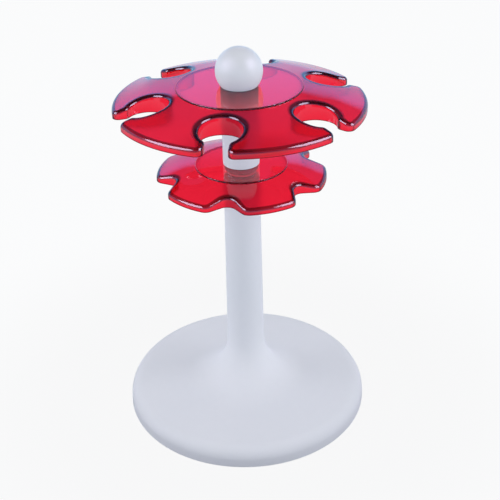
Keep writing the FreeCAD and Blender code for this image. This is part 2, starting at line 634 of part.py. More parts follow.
def make_lower_plate():
    plate = make_plate(lower_prism, LOWER_RIM_RADIUS, lower_disc_radius, lower_disc_top,
                       LOWER_SKIRT, LOWER_EDGE_RADIUS)
    pocket_bottom = lower_disc_top - LUG_HEIGHT - LUG_GAP
    return plate.cut(lug_pockets(pocket_bottom, LUG_HEIGHT + LUG_GAP + 1))


# ---------------------------------------------------------------- spacer and knob
def make_spacer_tube():
    """Moulded tube with ribs that centre it on the sleeve and lugs that key both plates."""
    height = upper_disc_bottom - lower_disc_top
    inner = SPACER_RADIUS - SPACER_WALL
    tube = turned_ring(inner, SPACER_RADIUS, lower_disc_top, height, SPACER_EDGE)
    added = []
    for x, y, angle in lug_places():
        rib = box_around_axis(sleeve_radius, lug_circle_radius, SPACER_RIB_THICKNESS / 2,
                              lower_disc_top, upper_disc_bottom)
        added.append(spun(rib, angle))
        added.append(rod(LUG_RADIUS, x, y, lower_disc_top - LUG_HEIGHT, height + 2 * LUG_HEIGHT))
    clear = rod(sleeve_seat_radius, 0, 0, lower_disc_top - 1, height + 2)
    return tube.fuse(added).cut(clear).removeSplitter()


def make_ball_knob():
    """Ball with a flat seat and a blind cavity for its threaded insert."""
    centre = FreeCAD.Vector(0, 0, UPPER_DISC_HEIGHT + KNOB_SEAT_DEPTH)
    ball = Part.makeSphere(KNOB_RADIUS, centre)
    below = rod(2 * KNOB_RADIUS, 0, 0, UPPER_DISC_HEIGHT - 2 * KNOB_RADIUS, 2 * KNOB_RADIUS)
    cavity = rod(insert_radius, 0, 0, UPPER_DISC_HEIGHT - 1, insert_top - UPPER_DISC_HEIGHT + 1)
    return ball.cut([below, cavity])


def make_knob_insert():
    """Capped threaded insert with retaining grooves."""
    insert = turned([(insert_bore_radius, UPPER_DISC_HEIGHT, 0), (insert_radius, UPPER_DISC_HEIGHT, 0),
                     (insert_radius, insert_top, 0), (0, insert_top, 0), (0, insert_roof, 0),
                     (insert_bore_radius, insert_roof, 0)])
    pitch = (insert_top - UPPER_DISC_HEIGHT) / (INSERT_GROOVE_COUNT + 1)
    floor = insert_radius - INSERT_GROOVE_DEPTH
    grooves = [turned_ring(floor, insert_radius + 1, UPPER_DISC_HEIGHT + pitch * (index + 0.75), pitch / 2)
               for index in range(INSERT_GROOVE_COUNT)]
    return insert.cut(grooves)


# ---------------------------------------------------------------- all the pieces
def make_parts():
    """Every node's name and shape."""
    parts = {
        "pedestal": make_pedestal(),
        "bottom_plate": make_bottom_plate(),
        "bottom_screws": make_bottom_screws(),
        "ballast_disc": make_ballast_disc(),
        "spindle": make_spindle(),
        "spindle_washer": make_spindle_washer(),
        "lock_washer": make_lock_washer(),
        "spindle_nut": make_spindle_nut(),
        "column_plug": make_column_plug(),
        "lower_race": make_race(lower_race_bottom),
        "bearing_cage": make_bearing_cage(),
        "bearing_balls": make_bearing_balls(),
        "upper_race": make_race(upper_race_bottom),
        "hub_sleeve": make_hub_sleeve(),
        "lower_bush": make_bush(lower_bush_bottom),
        "upper_bush": make_bush(upper_bush_bottom),
        "retaining_washer": make_retaining_washer(),
        "retaining_ring": make_retaining_ring(),
        "lower_plate": make_lower_plate(),
        "spacer_tube": make_spacer_tube(),
        "upper_plate": make_upper_plate(),
        "knob_insert": make_knob_insert(),
        "ball_knob": make_ball_knob(),
    }
    for index, (x, y, angle) in enumerate(foot_places()):
        parts["rubber_foot_%d" % (index + 1)] = make_rubber_foot(x, y)
    return parts


os.makedirs("parts", exist_ok=True)
for name, shape in make_parts().items():
    shape.exportStep("parts/%s.step" % name)
    print("%-18s solids %2d  volume %10.1f mm3" % (name, len(shape.Solids), shape.Volume))
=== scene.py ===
"""Looks of the pipette carousel stand: smooth moulded shells, clear red plates and a plain studio."""
import json
import logging
import math
from dataclasses import dataclass
from enum import Enum
from typing import Dict, List, Optional, Sequence, Tuple, Union

import bmesh
import bpy
import numpy as np
from mathutils import Matrix, Vector


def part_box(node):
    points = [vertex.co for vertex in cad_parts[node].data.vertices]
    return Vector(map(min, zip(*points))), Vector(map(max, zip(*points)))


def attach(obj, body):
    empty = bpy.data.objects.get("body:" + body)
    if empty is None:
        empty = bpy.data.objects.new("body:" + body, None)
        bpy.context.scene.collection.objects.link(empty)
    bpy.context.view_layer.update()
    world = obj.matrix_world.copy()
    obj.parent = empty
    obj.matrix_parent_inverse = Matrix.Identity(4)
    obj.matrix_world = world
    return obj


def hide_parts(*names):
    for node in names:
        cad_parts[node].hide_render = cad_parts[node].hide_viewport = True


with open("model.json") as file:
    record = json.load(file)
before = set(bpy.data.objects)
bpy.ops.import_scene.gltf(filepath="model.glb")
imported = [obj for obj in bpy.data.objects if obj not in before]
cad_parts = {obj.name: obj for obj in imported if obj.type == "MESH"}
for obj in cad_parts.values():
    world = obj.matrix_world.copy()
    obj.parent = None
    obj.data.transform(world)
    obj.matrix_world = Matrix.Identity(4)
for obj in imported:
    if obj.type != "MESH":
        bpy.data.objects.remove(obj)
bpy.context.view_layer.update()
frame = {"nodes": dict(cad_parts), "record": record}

LOG = logging.getLogger("carousel_stand")
MM = 0.001
Colour = Tuple[float, float, float]
Mask = Union[float, np.ndarray]
Operand = Union["Signal", float]
Place = Tuple[float, float, float]
Fade = Tuple[float, float]
Corner = Tuple[float, float, float]
Stretch = Tuple[np.ndarray, np.ndarray]


# -------------------- shader expressions
class Signal:
    """One output socket of a node tree, with arithmetic that adds Math nodes."""

    def __init__(self, graph: "Graph", socket: bpy.types.NodeSocket) -> None:
        """Wrap an output socket of this graph."""
        self.graph = graph
        self.socket = socket

    def _math(self, operation: str, *operands: Operand, clamp: bool = False) -> "Signal":
        """Result of a Math node on the operands in order, limited to 0..1 where clamp is set."""
        settings = {"operation": operation, "use_clamp": clamp}
        return self.graph.add("ShaderNodeMath", settings, dict(enumerate(operands)))

    def __add__(self, other: Operand) -> "Signal":
        """Sum."""
        return self._math("ADD", self, other)

    def __sub__(self, other: Operand) -> "Signal":
        """Difference."""
        return self._math("SUBTRACT", self, other)

    def __rsub__(self, other: float) -> "Signal":
        """Difference from a number on the left."""
        return self._math("SUBTRACT", other, self)

    def __mul__(self, other: Operand) -> "Signal":
        """Product."""
        return self._math("MULTIPLY", self, other)

    __radd__ = __add__
    __rmul__ = __mul__

    def clamped(self) -> "Signal":
        """Value limited to 0..1."""
        return self._math("ADD", self, 0.0, clamp=True)

    def sine(self) -> "Signal":
        """Sine of the value."""
        return self._math("SINE", self)

    def step(self, low: float, high: float) -> "Signal":
        """Smooth rise from 0 where the value is low to 1 where it is high."""
        return self.graph.add("ShaderNodeMapRange", {"interpolation_type": "SMOOTHSTEP"}, {
            "Value": self, "From Min": low, "From Max": high, "To Min": 0.0, "To Max": 1.0})


class Graph:
    """Node tree of one material or world."""

    # Sockets of a colour Mix node: its factor and two colours, and its result.
    MIX_INPUTS = (0, 6, 7)
    MIX_RESULT = 2

    def __init__(self, tree: bpy.types.NodeTree) -> None:
        """Empty the tree that is to be filled."""
        self.tree = tree
        tree.nodes.clear()

    def add(self, kind: str, settings: Optional[Dict[str, object]] = None,
            inputs: Optional[Dict[Union[int, str], object]] = None, output: Union[int, str] = 0) -> Signal:
        """Add any node.

        Args:
            kind: Blender's node type.
            settings: properties set first; "stops" holds a colour ramp's (position, colour) pairs.
            inputs: values or signals of its sockets, by name or index.
            output: the socket to return.

        Returns:
            The chosen output.
        """
        node = self.tree.nodes.new(kind)
        for key, value in (settings or {}).items():
            if key == "stops":
                self._set_stops(node.color_ramp, value)
            else:
                setattr(node, key, value)
        for key, value in (inputs or {}).items():
            if isinstance(value, Signal):
                self.tree.links.new(value.socket, node.inputs[key])
            else:
                node.inputs[key].default_value = value
        return Signal(self, node.outputs[output])

    @staticmethod
    def _set_stops(ramp: bpy.types.ColorRamp, stops: Sequence[Tuple[float, Colour]]) -> None:
        """Fill a colour ramp.

        Args:
            ramp: the ramp.
            stops: positions and colours, low to high.
        """
        while len(ramp.elements) < len(stops):
            ramp.elements.new(0.5)
        for element, (position, colour) in zip(ramp.elements, stops):
            element.position = position
            element.color = (*colour, 1.0)

    def place(self) -> Signal:
        """Object coordinates, in metres."""
        return self.add("ShaderNodeTexCoord", output="Object")

    def flat_place(self) -> Signal:
        """Object coordinates with the height taken out."""
        inputs = {0: self.place(), 1: (1.0, 1.0, 0.0)}
        return self.add("ShaderNodeVectorMath", {"operation": "MULTIPLY"}, inputs)

    def axis_distance(self) -> Signal:
        """Distance from the Z axis, the length of the flat coordinates."""
        return self.add("ShaderNodeVectorMath", {"operation": "LENGTH"}, {0: self.flat_place()}, "Value")

    def attribute(self, name: str) -> Signal:
        """Value that the mesh carries under this name."""
        return self.add("ShaderNodeAttribute", {"attribute_name": name}, output="Fac")

    def on_ray(self, kind: str) -> Signal:
        """1 on this kind of ray and 0 on any other."""
        return self.add("ShaderNodeLightPath", output=f"Is {kind} Ray")

    def noise(self, scale: float, detail: float = 3.0, roughness: float = 0.5,
              vector: Optional[Signal] = None) -> Signal:
        """Fractal noise around 0.5, of scale cells per metre, on the object's place or another vector."""
        inputs = {"Vector": vector or self.place(), "Scale": scale, "Detail": detail, "Roughness": roughness}
        return self.add("ShaderNodeTexNoise", None, inputs, "Fac")

    def blend(self, factor: Union[Signal, float], first: object, second: object) -> Signal:
        """Mix of two colours.

        Args:
            factor: share of the second colour.
            first: colour or signal.
            second: colour or signal.

        Returns:
            The mixed colour.
        """
        def four(value: object) -> object:
            """Colour with alpha where it is a plain triple."""
            return value if isinstance(value, Signal) else (*value, 1.0)

        inputs = dict(zip(self.MIX_INPUTS, (factor, four(first), four(second))))
        return self.add("ShaderNodeMix", {"data_type": "RGBA"}, inputs, self.MIX_RESULT)

    def mixed(self, factor: Signal, first: Signal, second: Signal) -> Signal:
        """Mix of two shaders, with the factor as the share of the second."""
        return self.add("ShaderNodeMixShader", None, dict(enumerate((factor, first, second))))

    def bump(self, height: Signal, distance: float, strength: float = 1.0,
             beneath: Optional[Signal] = None) -> Signal:
        """Normal of a height field.

        Args:
            height: height, 0 to 1.
            distance: real height of 1, in metres.
            strength: share of the effect.
            beneath: normal that this one is laid over.

        Returns:
            The bent normal.
        """
        inputs: Dict[Union[int, str], object] = {"Height": height, "Distance": distance, "Strength": strength}
        if beneath is not None:
            inputs["Normal"] = beneath
        return self.add("ShaderNodeBump", None, inputs, "Normal")

    def finish(self, shader: Signal, kind: str = "ShaderNodeOutputMaterial") -> None:
        """Link the shader to a new output node of this kind."""
        self.tree.links.new(shader.socket, self.tree.nodes.new(kind).inputs["Surface"])


def new_material(name: str) -> Tuple[bpy.types.Material, Graph]:
    """Fresh material with an empty tree.

    Args:
        name: its name.

    Returns:
        The material and its graph.
    """
    material = bpy.data.materials.new(name)
    material.use_nodes = True
    return material, Graph(material.node_tree)


# -------------------- finishes
@dataclass(frozen=True)
class MouldedPlastic:
    """Opaque moulded plastic with a fine spark-eroded grain."""

    name: str
    colour: Colour
    shade: Colour
    roughness: float = 0.42
    grain: float = 9000.0
    grain_height: float = 4e-6
    specular: float = 0.35
    # Colour of painted shade where the mesh's shade mask is set; streaks gives the cells per metre of its
    # streaks.
    shade_paint: Optional[Colour] = None
    streaks: float = 130.0
    cloud_share: float = 0.5
    scuff_share: float = 0.12
    gloss_spread: float = 0.05
    swell_height: float = 6e-6

    def build(self) -> bpy.types.Material:
        """Soft mottling, grain in the normal, slightly uneven gloss and, where a shade colour is given,
        painted shade on the mesh's shade mask.

        Returns:
            The material.
        """
        material, graph = new_material(self.name)
        cloud = graph.noise(14.0, detail=4.0, roughness=0.6).step(0.3, 0.7)
        grain = graph.noise(self.grain, detail=2.0)
        scuff = graph.noise(160.0, detail=5.0, roughness=0.7).step(0.62, 0.75)
        colour = graph.blend(cloud * self.cloud_share + scuff * self.scuff_share, self.colour, self.shade)
        if self.shade_paint is not None:
            # Painted shade darkens the colour where the mesh's shade mask is set, in streaks that run along
            # Z, because the noise reads coordinates without a height.
            streaks = graph.noise(self.streaks, detail=1.0, vector=graph.flat_place())
            streaked = graph.attribute("painted_shade") * (1.2 - streaks * 0.6).clamped()
            colour = graph.blend(streaked, colour, self.shade_paint)
        swell = graph.bump(graph.noise(220.0, detail=2.0), self.swell_height)
        shader = graph.add("ShaderNodeBsdfPrincipled", None, {
            "Base Color": colour,
            "Roughness": self.roughness + cloud * self.gloss_spread - scuff * self.gloss_spread,
            "Specular IOR Level": self.specular,
            "Normal": graph.bump(grain, self.grain_height, beneath=swell)})
        graph.finish(shader)
        return material


@dataclass(frozen=True)
class ClearPlastic:
    """Dyed clear plastic: finely matt where the attribute "frost" is 1, with painted shade where the shade
    mask is 1.
    """

    name: str
    colour: Colour
    swirl: Colour
    painted_edge_shade: Colour
    veil: Colour
    shadow: Colour
    polish: float = 0.03
    matt: float = 0.28
    wear_share: float = 0.03
    index: float = 1.49
    ripple_height: float = 3e-5
    pit_height: float = 6e-6

    def build(self) -> bpy.types.Material:
        """Refracting body with painted shade along its edges: the colour goes dark there, for light that has
        a long way to go inside.

        Diffuse rays pass it through a pale veil and shadow rays through a redder one.

        Returns:
            The material.
        """
        material, graph = new_material(self.name)
        frost = graph.attribute("frost")
        flow = graph.noise(30.0)
        pits = graph.noise(2600.0, detail=2.0)
        wear = graph.noise(240.0, detail=4.0, roughness=0.65).step(0.64, 0.8)
        dye = graph.blend(flow.step(0.3, 0.7) * 0.35, self.colour, self.swirl)
        ripple = graph.bump(flow, self.ripple_height)
        # Painted shade: the base colour goes near black where the shade mask is set, along the edges.
        body = graph.add("ShaderNodeBsdfPrincipled", None, {
            "Base Color": graph.blend(graph.attribute("painted_shade"), dye, self.painted_edge_shade),
            "Roughness": self.polish + frost * (self.matt - self.polish) + wear * self.wear_share,
            "IOR": self.index,
            "Transmission Weight": 1.0,
            "Normal": graph.bump(pits * frost, self.pit_height, strength=0.6, beneath=ripple)})
        shadow_ray = graph.on_ray("Shadow")
        veil = graph.add("ShaderNodeBsdfTransparent", None, {
            "Color": graph.blend(shadow_ray, self.veil, self.shadow)})
        soft = (shadow_ray + graph.on_ray("Diffuse")).clamped()
        graph.finish(graph.mixed(soft, body, veil))
        return material


@dataclass(frozen=True)
class MouldedRubber:
    """Black rubber with bloom and a coarse skin."""

    name: str
    colour: Colour = (0.018, 0.018, 0.019)
    bloom: Colour = (0.06, 0.06, 0.065)
    pebble_height: float = 3e-5

    def build(self) -> bpy.types.Material:
        """Dusty bloom over a pebbled skin.

        Returns:
            The material.
        """
        material, graph = new_material(self.name)
        dust = graph.noise(300.0, detail=5.0, roughness=0.7).step(0.45, 0.75)
        shader = graph.add("ShaderNodeBsdfPrincipled", None, {
            "Base Color": graph.blend(dust, self.colour, self.bloom),
            "Roughness": 0.62 + dust * 0.2,
            "Specular IOR Level": 0.3,
            "Normal": graph.bump(graph.noise(4200.0), self.pebble_height)})
        graph.finish(shader)
        return material


@dataclass(frozen=True)
class CastMetal:
    """Cast iron with a sandy skin and oil stains."""

    name: str
    colour: Colour = (0.09, 0.09, 0.092)
    stain: Colour = (0.045, 0.038, 0.032)
    sand_height: float = 1.2e-4

    def build(self) -> bpy.types.Material:
        """Sand grain, stains and patchy gloss.

        Returns:
            The material.
        """
        material, graph = new_material(self.name)
        stain = graph.noise(60.0, detail=5.0, roughness=0.65).step(0.45, 0.7)
        sand = graph.noise(1800.0, detail=4.0, roughness=0.7)
        shader = graph.add("ShaderNodeBsdfPrincipled", None, {
            "Base Color": graph.blend(stain, self.colour, self.stain),
            "Metallic": 0.75 - stain * 0.4,
            "Roughness": 0.5 + sand * 0.25,
            "Normal": graph.bump(sand, self.sand_height)})
        graph.finish(shader)
        return material


class Lay(Enum):
    """Direction of the tool marks on a turned piece."""

    LENGTHWISE = "marks circle the axis, spaced along Z"
    FACED = "marks circle the axis, spaced along the radius"


@dataclass(frozen=True)
class TurnedMetal:
    """Bare metal with fine tool marks around the stand's axis."""

    name: str
    colour: Colour
    tarnish: Colour
    roughness: float = 0.28
    lay: Lay = Lay.LENGTHWISE
    pitch: float = 0.25 * MM
    mark_height: float = 4e-6

    def build(self) -> bpy.types.Material:
        """Circular tool marks as a ripple, with tarnish in clouds.

        Returns:
            The material.
        """
        material, graph = new_material(self.name)
        if self.lay is Lay.LENGTHWISE:
            along = graph.add("ShaderNodeSeparateXYZ", None, {0: graph.place()}, "Z")
        else:
            along = graph.axis_distance()
        marks = (along * (2 * math.pi / self.pitch)).sine() * 0.5 + 0.5
        cloud = graph.noise(180.0, detail=4.0, roughness=0.6).step(0.4, 0.75)
        shader = graph.add("ShaderNodeBsdfPrincipled", None, {
            "Base Color": graph.blend(cloud * 0.6, self.colour, self.tarnish),
            "Metallic": 1.0,
            "Roughness": self.roughness + cloud * 0.12 + marks * 0.05,
            "Normal": graph.bump(marks, self.mark_height)})
        graph.finish(shader)
        return material


# -------------------- profiles and meshes
def arc_points(centre: Sequence[float], radius: float, start: float, stop: float, count: int) -> np.ndarray:
    """Points of a circle arc: centre + radius * (cos a, sin a) for a from start to stop.

    Args:
        centre: two coordinates.
        radius: radius of the arc.
        start: first angle in radians.
        stop: last angle in radians.
        count: number of points.

    Returns:
        Array (count, 2).
    """
    angle = np.linspace(start, stop, count)
    return np.stack([centre[0] + radius * np.cos(angle), centre[1] + radius * np.sin(angle)], 1)


def rounded_profile(corners: Sequence[Corner], steps: int) -> np.ndarray:
    """Open profile through (radius, height, rounding) corners.

    A rounded corner becomes the arc that touches both of its sides: its reach along each side is the
    rounding over the tangent of half the corner's angle.

    Args:
        corners: corners of the profile; the two ends stay sharp.
        steps: spans of an arc.

    Returns:
        Array (n, 2) of radius and height.
    """
    pieces: List[np.ndarray] = []
    for index, (x, z, rounding) in enumerate(corners):
        corner = np.array([x, z])
        if rounding <= 0 or index in (0, len(corners) - 1):
            pieces.append(corner[None])
            continue
        before = np.array(corners[index - 1][:2]) - corner
        after = np.array(corners[index + 1][:2]) - corner
        before /= np.linalg.norm(before)
        after /= np.linalg.norm(after)
        half = math.acos(float(np.clip(before @ after, -1, 1))) / 2
        inward = (before + after) / np.linalg.norm(before + after)
        centre = corner + inward * rounding / math.sin(half)
        first = corner + before * rounding / math.tan(half) - centre
        last = corner + after * rounding / math.tan(half) - centre
        start = math.atan2(first[1], first[0])
        sweep = (math.atan2(last[1], last[0]) - start + math.pi) % (2 * math.pi) - math.pi
        pieces.append(arc_points(centre, rounding, start, start + sweep, steps + 1))
    return np.concatenate(pieces)


def stretched(profile: np.ndarray, longest: float) -> np.ndarray:
    """Profile with its long straight spans divided evenly.

    Args:
        profile: array (n, 2).
        longest: longest span allowed.

    Returns:
        Array (m, 2).
    """
    length = np.linalg.norm(np.diff(profile, axis=0), axis=1)
    cuts = np.maximum(1, np.ceil(length / longest).astype(int))
    start = np.repeat(profile[:-1], cuts, axis=0)
    span = np.repeat(np.diff(profile, axis=0) / cuts[:, None], cuts, axis=0)
    order = np.arange(len(start)) - np.repeat(np.cumsum(cuts) - cuts, cuts)
    return np.concatenate([start + span * order[:, None], profile[-1:]])


class Skin:
    """Mesh under construction: patches of points joined where they meet.

    Points within the weld distance become one, and edges shorter than a sliver go. An edge whose
    faces turn by more than the sharp angle stays sharp.
    """

    WELD_DISTANCE = 2e-6
    SLIVER = 1e-7
    SHARP_ANGLE = math.radians(35.0)

    def __init__(self) -> None:
        """Start with no patches."""
        self.points: List[np.ndarray] = []
        self.faces: List[np.ndarray] = []
        self.frost: List[np.ndarray] = []
        self.painted_shade: List[np.ndarray] = []
        self.count = 0

    def add_grid(self, grid: np.ndarray, frost: Mask = 0.0, painted_shade: Mask = 0.0) -> None:
        """Add a rectangular patch.

        Args:
            grid: array (rows, columns, 3) of points.
            frost: share of matt finish, one number, one for each row or one for each point.
            painted_shade: share of painted shade, likewise.
        """
        rows, columns = grid.shape[:2]
        index = np.arange(rows * columns).reshape(rows, columns) + self.count
        quads = np.stack([index[:-1, :-1], index[1:, :-1], index[1:, 1:], index[:-1, 1:]], -1)
        self.points.append(grid.reshape(-1, 3))
        self.faces.append(quads.reshape(-1, 4))
        for masks, value in ((self.frost, frost), (self.painted_shade, painted_shade)):
            share = np.asarray(value, float)
            if share.ndim == 1:
                share = share[:, None]
            masks.append(np.broadcast_to(share, (rows, columns)).reshape(-1))
        self.count += rows * columns

    def add_turned(self, profile: np.ndarray, segments: int, painted_shade: Mask = 0.0) -> None:
        """Add a profile turned about the Z axis: (r cos a, r sin a, z) over the angle a.

        Args:
            profile: array (n, 2) of radius and height.
            segments: spans around.
            painted_shade: share of painted shade, one number or one for each point of the profile.
        """
        angle = np.linspace(0, 2 * np.pi, segments + 1)
        radius = profile[:, :1]
        grid = np.stack([radius * np.cos(angle), radius * np.sin(angle),
                         np.repeat(profile[:, 1:], segments + 1, axis=1)], -1)
        self.add_grid(grid, painted_shade=painted_shade)

    def build(self, name: str) -> bpy.types.Object:
        """Join the patches into one closed, smooth mesh whose faces point outwards.

        Args:
            name: the piece's name.

        Returns:
            The object, at the origin.
        """
        points = np.concatenate(self.points)
        quads = np.concatenate(self.faces)
        mesh = bpy.data.meshes.new(name)
        mesh.vertices.add(len(points))
        mesh.vertices.foreach_set("co", points.astype(np.float32).ravel())
        mesh.loops.add(quads.size)
        mesh.loops.foreach_set("vertex_index", quads.astype(np.int32).ravel())
        mesh.polygons.add(len(quads))
        mesh.polygons.foreach_set("loop_start", np.arange(0, quads.size, 4, dtype=np.int32))
        mesh.update(calc_edges=True)
        for label, masks in (("frost", self.frost), ("painted_shade", self.painted_shade)):
            layer = mesh.attributes.new(label, "FLOAT", "POINT")
            layer.data.foreach_set("value", np.concatenate(masks).astype(np.float32))
        shape = bmesh.new()
        shape.from_mesh(mesh)
        bmesh.ops.remove_doubles(shape, verts=shape.verts, dist=self.WELD_DISTANCE)
        bmesh.ops.dissolve_degenerate(shape, edges=shape.edges, dist=self.SLIVER)
        bmesh.ops.recalc_face_normals(shape, faces=shape.faces)
        shape.to_mesh(mesh)
        shape.free()
        mesh.validate()
        edge_uses = np.empty(len(mesh.loops), np.int32)
        mesh.loops.foreach_get("edge_index", edge_uses)
        open_edges = np.count_nonzero(np.bincount(edge_uses) != 2)
        mesh.shade_smooth()
        mesh.set_sharp_from_angle(angle=self.SHARP_ANGLE)
        piece = bpy.data.objects.new(name, mesh)
        bpy.context.scene.collection.objects.link(piece)
        LOG.info("%s: %d vertices, %d open edges", name, len(mesh.vertices), open_edges)
        return piece


def dress(piece: bpy.types.Object, material: bpy.types.Material) -> None:
    """Give a piece one material.

    Args:
        piece: the object.
        material: its material.
    """
    piece.data.materials.clear()
    piece.data.materials.append(material)


def settle(piece: bpy.types.Object, node: str, body: str,
           material: bpy.types.Material) -> None:
    """Dress a new piece, put it in place of its CAD node and let it ride on its body.

    Args:
        piece: the new piece.
        node: the CAD node that it stands for.
        body: the body that it moves with.
        material: its material.
    """
    dress(piece, material)
    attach(piece, body)
    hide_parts(node)
    LOG.info("%s stands for %s on %s", piece.name, node, body)


def dress_node(node: str, material: bpy.types.Material) -> None:
    """Give a CAD node a better material on all of its slots.

    Args:
        node: the node's name.
        material: the material.
    """
    slots = frame["nodes"][node].data.materials
    for index in range(len(slots)):
        slots[index] = material
    LOG.info("%s dressed in %s", node, material.name)


# -------------------- base and column
@dataclass
class Pedestal:
    """Base cover and drafted column in one moulding."""

    material: bpy.types.Material
    node: str = "pedestal"
    body: str = "stand"
    slot: str = "white_shell"
    side_draft: float = 4.0
    shoulder_height: float = 18.3 * MM
    top_slope: float = 2.9
    shoulder_radius: float = 12.0 * MM
    foot_fillet: float = 44.0 * MM
    column_top_radius: float = 15.9 * MM
    column_draft: float = 0.57
    wall: float = 3.0 * MM
    plug_seat_radius: float = 12.45 * MM
    plug_seat_depth: float = 20.0 * MM
    edge_radius: float = 0.6 * MM
    arc_steps: int = 24
    longest: float = 8 * MM
    segments: int = 192

    def profile(self, inset: float) -> List[Corner]:
        """Corners of the skin from the bottom edge to the column's mouth.

        Args:
            inset: distance inside the outer skin.

        Returns:
            (radius, height, rounding) corners.
        """
        low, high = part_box(self.node)
        side = math.tan(math.radians(self.side_draft))
        shoulder = high.x - (self.shoulder_height - low.z) * side - inset
        rise = (shoulder - self.column_top_radius) * math.tan(math.radians(self.top_slope))
        foot_height = self.shoulder_height + rise - inset
        taper = math.tan(math.radians(self.column_draft))
        foot = self.column_top_radius + (high.z - foot_height) * taper - inset
        return [(high.x - inset, low.z, 0.0),
                (shoulder, self.shoulder_height - inset, self.shoulder_radius - inset),
                (foot, foot_height, self.foot_fillet + inset),
                (self.column_top_radius - inset, high.z, 0.0)]

    def build(self) -> None:
        """Outer skin, mouth with the plug's seat, inner skin and bottom edge, turned as one surface."""
        low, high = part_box(self.node)
        outer = self.profile(0.0)
        inner = self.profile(self.wall)
        seat_bottom = high.z - self.plug_seat_depth
        bore = inner[-1][0] + self.plug_seat_depth * math.tan(math.radians(self.column_draft))
        mouth = [(outer[-1][0], high.z, self.edge_radius), (self.plug_seat_radius, high.z, 0.0),
                 (self.plug_seat_radius, seat_bottom, 0.0), (bore, seat_bottom, 0.0)]
        start = (outer[0][0] - self.wall / 2, low.z, 0.0)
        bottom = (outer[0][0], low.z, self.edge_radius)
        corners = [start, bottom, *outer[1:-1], *mouth, *inner[-2:0:-1], inner[0], start]
        skin = Skin()
        skin.add_turned(stretched(rounded_profile(corners, self.arc_steps), self.longest), self.segments)
        settle(skin.build("pedestal_skin"), self.node, self.body, self.material)


@dataclass
class SpacerTube:
    """White tube between the two plates."""

    material: bpy.types.Material
    node: str = "spacer_tube"
    body: str = "carousel"
    slot: str = "white_tube"
    lug_height: float = 1.2 * MM
    wall: float = 2.7 * MM
    edge_radius: float = 0.35 * MM
    # Height over which the tube's top is painted dark as shade under the plate.
    shade_paint_height: float = 15.0 * MM
    arc_steps: int = 5
    longest: float = 2 * MM
    segments: int = 128

    def build(self) -> None:
        """Plain tube with softened ends, turned about the axis.

        Its top carries painted shade, for the shade under the plate, rising as the square root of the share
        of the shaded height.
        """
        low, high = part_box(self.node)
        bottom = low.z + self.lug_height
        top = high.z - self.lug_height
        inner = high.x - self.wall
        corners = [(inner, bottom, 0.0), (high.x, bottom, self.edge_radius), (high.x, top, self.edge_radius),
                   (inner, top, 0.0), (inner, bottom, 0.0)]
        profile = stretched(rounded_profile(corners, self.arc_steps), self.longest)
        # Share of painted shade along the profile, full at the top under the plate.
        shade_paint = np.clip((profile[:, 1] - top) / self.shade_paint_height + 1.0, 0, 1) ** 0.5
        skin = Skin()
        skin.add_turned(profile, self.segments, shade_paint)
        settle(skin.build("spacer_skin"), self.node, self.body, self.material)


@dataclass
class BallKnob:
    """Ball with a flat seat on the upper plate."""

    material: bpy.types.Material
    node: str = "ball_knob"
    insert_node: str = "knob_insert"
    body: str = "carousel"
    slot: str = "white_knob"
    radius: float = 20.0 * MM
    seat_rounding: float = 0.4 * MM
    ball_points: int = 64
    arc_steps: int = 4
    longest: float = 4 * MM
    segments: int = 128

    def build(self) -> None:
        """Sphere from its pole to the seat, then the seat and the insert's cavity, turned about the axis."""
        low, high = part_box(self.node)
        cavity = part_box(self.insert_node)[1]
        centre = high.z - self.radius
        seat_angle = math.asin((low.z - centre) / self.radius)
        last_angle = seat_angle + self.seat_rounding / self.radius
        ball = arc_points((0.0, centre), self.radius, math.pi / 2, last_angle, self.ball_points)
        corners = [(*ball[-1], 0.0), (self.radius * math.cos(seat_angle), low.z, self.seat_rounding / 2),
                   (cavity.x, low.z, 0.0), (cavity.x, cavity.z, 0.0), (0.0, cavity.z, 0.0)]
        seat = rounded_profile(corners, self.arc_steps)
        skin = Skin()
        skin.add_turned(stretched(np.concatenate([ball, seat[1:]]), self.longest), self.segments)
        settle(skin.build("ball_skin"), self.node, self.body, self.material)


# -------------------- notched plates
@dataclass
class Border:
    """Half of one notch and of the rim beside it, in the notch's own axes (outwards, sideways)."""

    points: np.ndarray
    normals: np.ndarray
    rim_start: int


def round_stretch(centre: Sequence[float], radius: float, start: float, stop: float, count: int,
                  inwards: float) -> Stretch:
    """Arc with its normals along the radius.

    Args:
        centre: centre of the arc.
        radius: its radius.
        start: first angle.
        stop: last angle.
        count: spans.
        inwards: 1 where the material lies outside the circle, -1 where it lies inside.

    Returns:
        Points and normals into the material.
    """
    points = arc_points(centre, radius, start, stop, count + 1)
    normals = arc_points((0.0, 0.0), inwards, start, stop, count + 1)
    return points, normals


class NotchKind(Enum):
    """Outline of a plate's notches."""

    KEYHOLE = "round pocket behind a narrower throat"
    VEE = "shallow notch with straight flanks"


